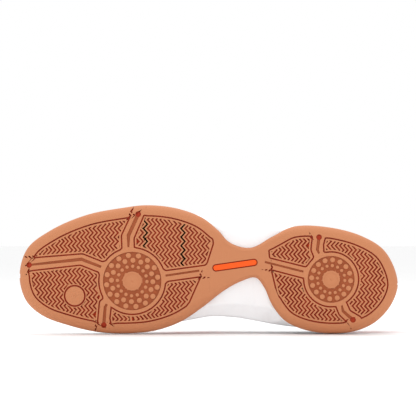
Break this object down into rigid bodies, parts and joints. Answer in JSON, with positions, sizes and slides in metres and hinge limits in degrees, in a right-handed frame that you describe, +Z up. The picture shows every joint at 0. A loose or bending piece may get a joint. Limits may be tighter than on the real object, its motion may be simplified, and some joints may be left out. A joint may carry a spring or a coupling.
{
  "type": "court shoe",
  "caption": "Low-cut left court shoe: gum rubber outsole with pivot discs and herringbone tread, white moulded midsole, leather upper with red panels, laced over a padded tongue.",
  "frame": {"origin": "centre of the bounding box in plan, on the ground under the outsole", "axes": "+X towards the toe, +Y towards the outer side of this left shoe, +Z up from the ground"},
  "size_m": [0.296, 0.1001, 0.1087],
  "materials": {
    "gum_rubber": "matte",
    "inlay": "satin",
    "midsole_foam": "matte",
    "shank_nylon": "satin",
    "board": "matte",
    "sockliner_cloth": "matte",
    "lining_cloth": "matte",
    "foam": "matte",
    "stiffener": "matte",
    "white_leather": "satin",
    "red_leather": "satin",
    "webbing": "matte",
    "label": "satin",
    "gusset_cloth": "matte",
    "lace_cloth": "matte",
    "aglet_plastic": "gloss"
  },
  "bodies": {
    "shoe": {"outsole": "gum_rubber", "outsole_inlay": "inlay", "midsole": "midsole_foam", "shank": "shank_nylon", "strobel_board": "board", "vamp_lining": "lining_cloth", "quarter_lining": "lining_cloth", "collar_padding": "foam", "toe_puff": "stiffener", "heel_counter": "stiffener", "vamp": "white_leather", "quarter_lateral": "white_leather", "quarter_medial": "white_leather", "toe_cap": "white_leather", "heel_overlay": "red_leather", "eyestay_lateral": "white_leather", "eyestay_medial": "white_leather", "saddle_lateral": "red_leather", "saddle_medial": "red_leather", "base_band_lateral": "red_leather", "base_band_medial": "red_leather", "heel_loop": "webbing", "tongue_gusset_lateral": "gusset_cloth", "tongue_gusset_medial": "gusset_cloth", "lace": "lace_cloth", "aglet_lateral": "aglet_plastic", "aglet_medial": "aglet_plastic"},
    "tongue": {"tongue": "white_leather", "tongue_foam": "foam", "tongue_lining": "lining_cloth", "tongue_label": "label"},
    "sockliner": {"sockliner": "sockliner_cloth"}
  },
  "joints": [
    {"name": "tongue_fold", "type": "hinge", "parent": "shoe", "child": "tongue", "pos_m": [0.074, -0.001, 0.0505], "axis": [0, 1, 0], "range_deg": [0, 18], "deforming": ["lace", "tongue_gusset_lateral", "tongue_gusset_medial"]},
    {"name": "sockliner_lift", "type": "hinge", "parent": "shoe", "child": "sockliner", "pos_m": [0.137, -0.006, 0.0236], "axis": [0, 1, 0], "range_deg": [0, 3]}
  ]
}
